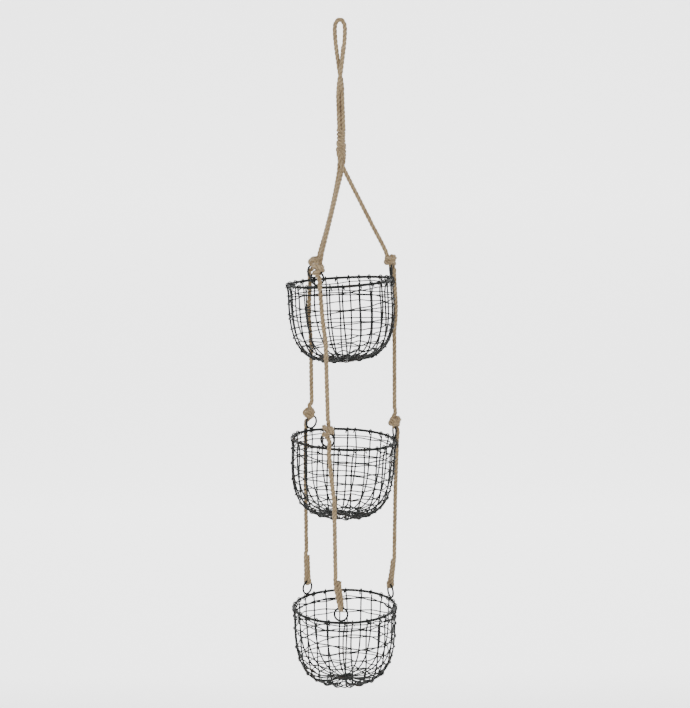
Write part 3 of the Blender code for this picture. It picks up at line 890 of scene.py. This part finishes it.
def build_loop():
    """The eye: one rope whose two strands cross at the throat and run into the neck."""
    throat = joint_point("swing_sideways")
    low, high = (Vector(corner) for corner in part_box("hanging_loop"))
    half_width = high.x - ROPE_RADIUS
    crown = high.z - ROPE_RADIUS
    shoulder = crown - 0.0155
    right = [(0.0, 0.0, crown)]
    for degrees in (65, 40, 15):
        turn = math.radians(degrees)
        right.append((half_width * math.cos(turn), 0.0, shoulder + (crown - shoulder) * math.sin(turn)))
    right += [(half_width, -0.0004, shoulder - 0.006), (half_width * 0.93, -0.0010, shoulder - 0.020),
              (half_width * 0.75, -0.0018, shoulder - 0.036), (half_width * 0.52, -0.0028, shoulder - 0.052),
              (half_width * 0.36, -0.0036, shoulder - 0.063), (0.0018, -0.0042, throat.z),
              (-0.0004, -0.0043, throat.z - 0.012), (-0.0022, -0.0034, throat.z - 0.022),
              (-0.0034, -0.0020, throat.z - 0.033), (-0.0030, -0.0008, throat.z - 0.045)]
    left = [(-x, -y, z) for x, y, z in right]
    stations = list(reversed(left)) + right[1:]
    line = Rope(smooth_route(stations, ROPE_STEP), seed=5)
    heights = line.points[:, 2]
    above = np.nonzero(heights >= throat.z)[0]
    first, last = int(above[0]), int(above[-1])
    parts = line.piece("eye_rope", first, last, "jute_rope", ["hanging_loop", "loop_throat"])
    blend_all(parts)
    tail = [Vector((0.0016, 0.0030, throat.z + 0.012)), Vector((0.0030, 0.0034, throat.z + 0.026)),
            Vector((0.0040, 0.0036, throat.z + 0.034)), Vector((0.0046, 0.0034, throat.z + 0.042))]
    line_end = Rope(smooth_route(tail, ROPE_STEP), radius=EYE_CUT_RADIUS, seed=6)
    parts = line_end.piece("eye_cut_end", 0, len(line_end.points) - 1, "jute_rope", [])
    ride_all(parts, "hanging_loop")
    end = len(heights) - 1
    for name, start, stop in (("eye_strand_left", 0, first), ("eye_strand_right", last, end)):
        parts = line.piece(name, start, stop, "jute_rope", [])
        blend_all(parts)


def build_neck():
    """The ropes of the neck, drawn together at its top, round a dark tube of painted shade that shows in the
    groove between them.
    """
    top = neck_high.z - 0.016
    bottom = neck_low.z - 0.006
    parts = []
    heights = np.linspace(top, bottom, 90)
    ease = np.clip((top - heights) / 0.022, 0.25, 1.0)
    drift = NECK_DRIFT * (top - heights) / (top - bottom) - 0.0012
    for index, ((x, y), thickness) in enumerate(NECK_ROPES):
        stations = [(x * share + shift, y, z) for z, share, shift in zip(heights, ease, drift)]
        line = Rope(smooth_route(stations, NECK_STEP), radius=thickness, seed=50 + index, step=NECK_STEP)
        nodes = ["plaited_neck"] if index == 0 else []
        parts += line.piece(f"neck_plait_{index + 1}", 0, len(line.points) - 1, "jute_rope", nodes)
    # A dark tube down the neck's middle: painted shade, standing in for the shadow in the groove between the
    # ropes.
    middle = Shape()
    shade_tube_route = np.array([(0.0, 0.0, z) for z in np.linspace(top - 0.012, bottom, 12)])
    middle.add_tube(shade_tube_route, NECK_SHADE_TUBE_RADIUS, 10)
    core = middle.build("neck_painted_shade_tube", SHADOWED_FIBRE)
    ride_all([*parts, core], "neck")


def build_whipping():
    """Cord wound round the ropes below the neck, each turn a little uneven, with its two ends tucked in."""
    top, foot = whip_high.z - 0.0034, whip_low.z + 0.0150
    draw = random.Random(9)
    count = WHIPPING_TURNS * WHIPPING_STEPS
    turn = np.linspace(0, 2 * math.pi * WHIPPING_TURNS, count)
    share = np.linspace(0, 1, count)
    window = np.hanning(25) / np.hanning(25).sum()

    def uneven(size):
        per_turn = [draw.gauss(0, size) for _ in range(WHIPPING_TURNS)]
        return np.convolve(np.pad(np.repeat(per_turn, WHIPPING_STEPS), 12, "edge"), window, "valid")
    tilt, bulge = uneven(0.0018), uneven(0.0005)
    tucked_ends = 0.0018 * np.clip((np.abs(share - 0.5) - 0.48) * 50, 0, 1)
    radius = 0.0052 + 0.0005 * share + bulge - tucked_ends
    height = np.clip(top + (foot - top) * share + tilt * np.cos(turn - 0.6), foot, top)
    drift = 0.0004 + 0.0016 * share
    points = np.stack((drift + radius * np.cos(turn), 0.9 * radius * np.sin(turn), height), axis=1)
    cord = Rope(points, radius=WHIPPING_CORD_RADIUS, seed=70, step=NECK_STEP)
    parts = cord.piece("whipping_cord", 0, len(cord.points) - 1, "jute_whipping", ["neck_whipping"],
                       WHIPPING_FIBRES_PER_METRE)
    ride_all(parts, "top_tier")


build_loop()
build_neck()
build_whipping()


# ---------------------------------------------------------------- studio

def build_camera():
    camera = bpy.data.cameras.new("camera")
    camera.sensor_fit = "HORIZONTAL"
    camera.sensor_width = SENSOR_WIDTH
    camera.lens = FOCAL_LENGTH
    camera.clip_end = 50.0
    holder = bpy.data.objects.new("camera", camera)
    bpy.context.collection.objects.link(holder)
    pitch, roll = math.radians(CAMERA_PITCH), math.radians(CAMERA_ROLL)
    holder.matrix_world = (Matrix.Translation(CAMERA_PLACE)
                           @ Matrix.Rotation(math.pi / 2 - pitch, 4, "X") @ Matrix.Rotation(roll, 4, "Z"))
    bpy.context.scene.camera = holder


def build_stage():
    """A pale floor below the hanger that sweeps up behind it into a bright backdrop."""
    floor_height = cad_bounds[0][2] - 0.35
    depth, radius, top = 2.6, 1.2, 3.0
    outline = [(-4.0, floor_height), (0.3, floor_height)]
    for degrees in range(0, 91, 6):
        turn = math.radians(degrees)
        outline.append((depth + radius * math.sin(turn), floor_height + radius * (1 - math.cos(turn))))
    outline.append((depth + radius, top))
    vertices = [(x, y, z) for y, z in outline for x in (-6.0, 6.0)]
    faces = [(2 * i, 2 * i + 1, 2 * i + 3, 2 * i + 2) for i in range(len(outline) - 1)]
    mesh = bpy.data.meshes.new("studio_floor")
    mesh.from_pydata(vertices, [], faces)
    mesh.shade_smooth()
    material, nodes, links, shader = node_material("studio_floor")
    shader.inputs["Base Color"].default_value = (0.93, 0.93, 0.93, 1.0)
    shader.inputs["Roughness"].default_value = 0.9
    shader.inputs["Emission Color"].default_value = (1.0, 1.0, 1.0, 1.0)
    coordinates = nodes.new("ShaderNodeTexCoord")
    split = nodes.new("ShaderNodeSeparateXYZ")
    links.new(coordinates.outputs["Object"], split.inputs["Vector"])
    links.new(add_range(nodes, links, split.outputs["Y"], 0.0, BACKDROP_GLOW, 0.0, 0.9),
              shader.inputs["Emission Strength"])
    mesh.materials.append(material)
    floor = bpy.data.objects.new("studio_floor", mesh)
    bpy.context.collection.objects.link(floor)


def area_light(name, position, target, size, power, colour=(1.0, 1.0, 1.0)):
    light = bpy.data.lights.new(name, "AREA")
    light.energy = power
    light.size = size
    light.color = colour
    holder = bpy.data.objects.new(name, light)
    bpy.context.collection.objects.link(holder)
    direction = Vector(target) - Vector(position)
    turn = direction.to_track_quat("-Z", "Y").to_matrix().to_4x4()
    holder.matrix_world = Matrix.Translation(position) @ turn


def build_lights():
    middle = (0.0, 0.0, (cad_bounds[0][2] + cad_bounds[1][2]) / 2)
    area_light("key", (-1.6, -2.4, 1.2), middle, 1.6, 60.0)
    area_light("fill", (2.4, -1.8, 0.2), middle, 2.2, 35.0)
    area_light("back", (0.4, 1.8, 1.4), middle, 1.6, 35.0)
    world = bpy.context.scene.world or bpy.data.worlds.new("studio")
    bpy.context.scene.world = world
    world.use_nodes = True
    nodes = world.node_tree.nodes
    background = nodes.get("Background") or nodes.new("ShaderNodeBackground")
    background.inputs["Color"].default_value = (1.0, 1.0, 1.0, 1.0)
    background.inputs["Strength"].default_value = 0.7


build_camera()
build_stage()
build_lights()
